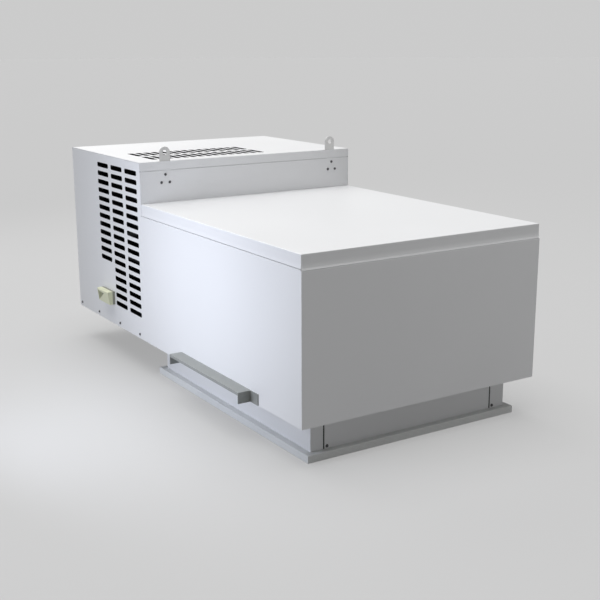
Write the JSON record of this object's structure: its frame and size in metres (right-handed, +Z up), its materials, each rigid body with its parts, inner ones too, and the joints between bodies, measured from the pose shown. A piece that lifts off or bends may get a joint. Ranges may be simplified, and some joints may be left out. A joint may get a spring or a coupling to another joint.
{
  "type": "monoblock refrigeration unit",
  "caption": "Ceiling-mounted cold-room cooling unit: stepped white casing with a tall slotted condensing end, a low lidded evaporator end, and a flanged plug below for the ceiling.",
  "frame": {"origin": "centre of the ceiling plug, in the roof plane on which the underside rests", "axes": "+X across the unit to its right side, +Y from the low evaporator end to the tall condensing end, +Z up"},
  "size_m": [0.606, 1.073, 0.5113],
  "materials": {
    "white_sheet": "satin",
    "galvanised_sheet": "satin",
    "zinc_plate": "satin",
    "zinc_screws": "satin",
    "flange_plastic": "matte",
    "foam": "matte",
    "gasket": "matte",
    "entry_olive": "matte",
    "entry_ivory": "satin",
    "black_plastic": "matte",
    "motor_black": "satin",
    "aluminium_fin": "satin",
    "copper": "satin",
    "compressor_black": "gloss",
    "steel_core": "satin",
    "heater_steel": "satin",
    "drain_plastic": "matte"
  },
  "bodies": {
    "housing": {"side_panel_left": "white_sheet", "side_panel_right": "white_sheet", "front_panel": "white_sheet", "bulkhead_panel": "white_sheet", "rear_panel": "white_sheet", "condenser_top_cover": "white_sheet", "evaporator_lid": "white_sheet", "plug_collar_left": "white_sheet", "plug_collar_right": "white_sheet", "plug_collar_front": "white_sheet", "plug_collar_rear": "white_sheet", "base_pan": "galvanised_sheet", "lid_rail": "galvanised_sheet", "grip_rail_left": "galvanised_sheet", "grip_rail_right": "galvanised_sheet", "fan_deck": "galvanised_sheet", "evaporator_motor_straps": "galvanised_sheet", "condenser_stand": "galvanised_sheet", "condenser_shroud": "galvanised_sheet", "condenser_motor_strap": "galvanised_sheet", "electrical_box": "galvanised_sheet", "electrical_box_cover": "galvanised_sheet", "lifting_eye_left": "zinc_plate", "lifting_eye_right": "zinc_plate", "lifting_eye_screws": "zinc_screws", "base_screws": "zinc_screws", "plug_screws": "zinc_screws", "compressor_bolts": "zinc_screws", "plug_flange": "flange_plastic", "intake_grille": "flange_plastic", "discharge_grille": "flange_plastic", "plug_insulation": "foam", "insulation_box": "foam", "lid_insulation": "foam", "lid_gasket": "gasket", "compressor_grommets": "gasket", "cable_entry_base": "entry_olive", "cable_entry_cover": "entry_ivory", "compressor_terminal_cover": "black_plastic", "evaporator_motor_left": "motor_black", "evaporator_motor_right": "motor_black", "condenser_motor": "motor_black", "evaporator_fins": "aluminium_fin", "evaporator_end_plates": "aluminium_fin", "drip_tray": "aluminium_fin", "condenser_core": "aluminium_fin", "condenser_fins": "aluminium_fin", "evaporator_header": "copper", "suction_line": "copper", "discharge_line": "copper", "liquid_line": "copper", "expansion_line": "copper", "filter_drier": "copper", "compressor_shell": "compressor_black", "compressor_pump": "steel_core", "defrost_heater": "heater_steel", "drain_pipe": "drain_plastic"},
    "evaporator_fan_left": {"evaporator_fan_left": "black_plastic"},
    "evaporator_fan_right": {"evaporator_fan_right": "black_plastic"},
    "condenser_fan": {"condenser_fan": "black_plastic"}
  },
  "joints": [
    {"name": "evaporator_fan_left_spin", "type": "hinge", "parent": "housing", "child": "evaporator_fan_left", "pos_m": [-0.1039, -0.14165, 0.047], "axis": [0, 0, 1], "continuous": true},
    {"name": "evaporator_fan_right_spin", "type": "hinge", "parent": "housing", "child": "evaporator_fan_right", "pos_m": [0.1039, -0.14165, 0.047], "axis": [0, 0, 1], "continuous": true},
    {"name": "condenser_fan_spin", "type": "hinge", "parent": "housing", "child": "condenser_fan", "pos_m": [0, 0.6428, 0.205], "axis": [0, 1, 0], "continuous": true}
  ]
}
